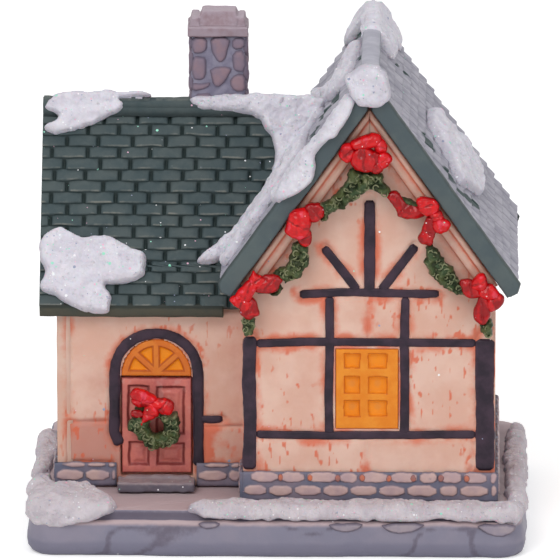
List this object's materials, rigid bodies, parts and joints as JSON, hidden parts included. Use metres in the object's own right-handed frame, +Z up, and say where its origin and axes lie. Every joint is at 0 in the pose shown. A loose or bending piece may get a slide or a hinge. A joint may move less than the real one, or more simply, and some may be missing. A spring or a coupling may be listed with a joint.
{
  "type": "light-up christmas house",
  "caption": "Miniature light-up cottage with a tiled roof, a half-timbered gable, a door with a wreath, snow, and a battery light unit in its base.",
  "frame": {"origin": "middle of the base's underside", "axes": "+Z up, -Y out of the front with the door and the gable, +X to the viewer's right"},
  "size_m": [0.071, 0.054, 0.0724],
  "materials": {
    "plaster": "painted cast resin, semi-matt",
    "slate": "painted cast resin with glitter flecks",
    "grey_slate": "painted cast resin with glitter flecks",
    "board": "painted cast resin",
    "timber": "painted cast resin",
    "amber": "tinted translucent resin, satin",
    "door_paint": "painted cast resin",
    "stone": "painted cast resin",
    "base_stone": "painted cast resin",
    "chimney_stone": "painted cast resin",
    "green": "painted cast resin, dry-brushed",
    "red": "glossy paint",
    "snow": "textured paint with glitter flecks",
    "white_plastic": "satin moulding",
    "grey_plastic": "satin moulding",
    "clear_lens": "clear",
    "steel": "bright"
  },
  "bodies": {
    "house": {"house_walls": "plaster", "gable_moulding": "plaster", "main_roof": "slate", "gable_roof": "grey_slate", "gable_ridge_cap": "grey_slate", "bargeboard_front_left": "board", "bargeboard_front_right": "board", "bargeboard_back_left": "board", "bargeboard_back_right": "board", "corner_post_left": "timber", "corner_post_right": "timber", "gable_truss": "timber", "timber_lattice": "timber", "door_arch": "timber", "wing_rail": "timber", "front_window": "amber", "left_window": "amber", "right_window": "amber", "back_window": "amber", "fanlight": "amber", "door": "door_paint", "door_step": "stone", "stone_footing": "stone", "base": "base_stone", "chimney_shaft": "chimney_stone", "chimney_cap": "chimney_stone", "wreath": "green", "garland_left_upper": "green", "garland_left_lower": "green", "garland_right_upper": "green", "garland_right_lower": "green", "wreath_bow": "red", "bow_apex": "red", "bow_left_mid": "red", "bow_right_mid": "red", "bow_left_end": "red", "bow_right_end": "red", "snow_main_ridge": "snow", "snow_main_eave": "snow", "snow_valley": "snow", "snow_right_slope": "snow", "snow_left_rake": "snow", "snow_left_slope": "snow", "snow_ridge_back": "snow", "snow_ridge_front": "snow", "snow_ground_left": "snow", "snow_ground_far_left": "snow", "snow_ground_front": "snow", "snow_ground_right": "snow"},
    "light_unit": {"light_housing": "white_plastic", "led_bulb": "clear_lens", "led_lead_positive": "steel", "led_lead_negative": "steel", "coin_cell": "steel", "cell_contact": "steel", "rim_contact": "steel"},
    "battery_door": {"battery_door": "white_plastic", "door_screw": "steel"},
    "switch": {"switch_slider": "grey_plastic"}
  },
  "joints": [
    {"name": "unit_slide", "type": "slide", "parent": "house", "child": "light_unit", "axis": [0, 0, -1], "range_m": [0, 0.022]},
    {"name": "battery_door_slide", "type": "slide", "parent": "light_unit", "child": "battery_door", "axis": [0, 0, -1], "range_m": [0, 0.012]},
    {"name": "switch_slide", "type": "slide", "parent": "light_unit", "child": "switch", "axis": [1, 0, 0], "range_m": [0, 0.0026]}
  ]
}
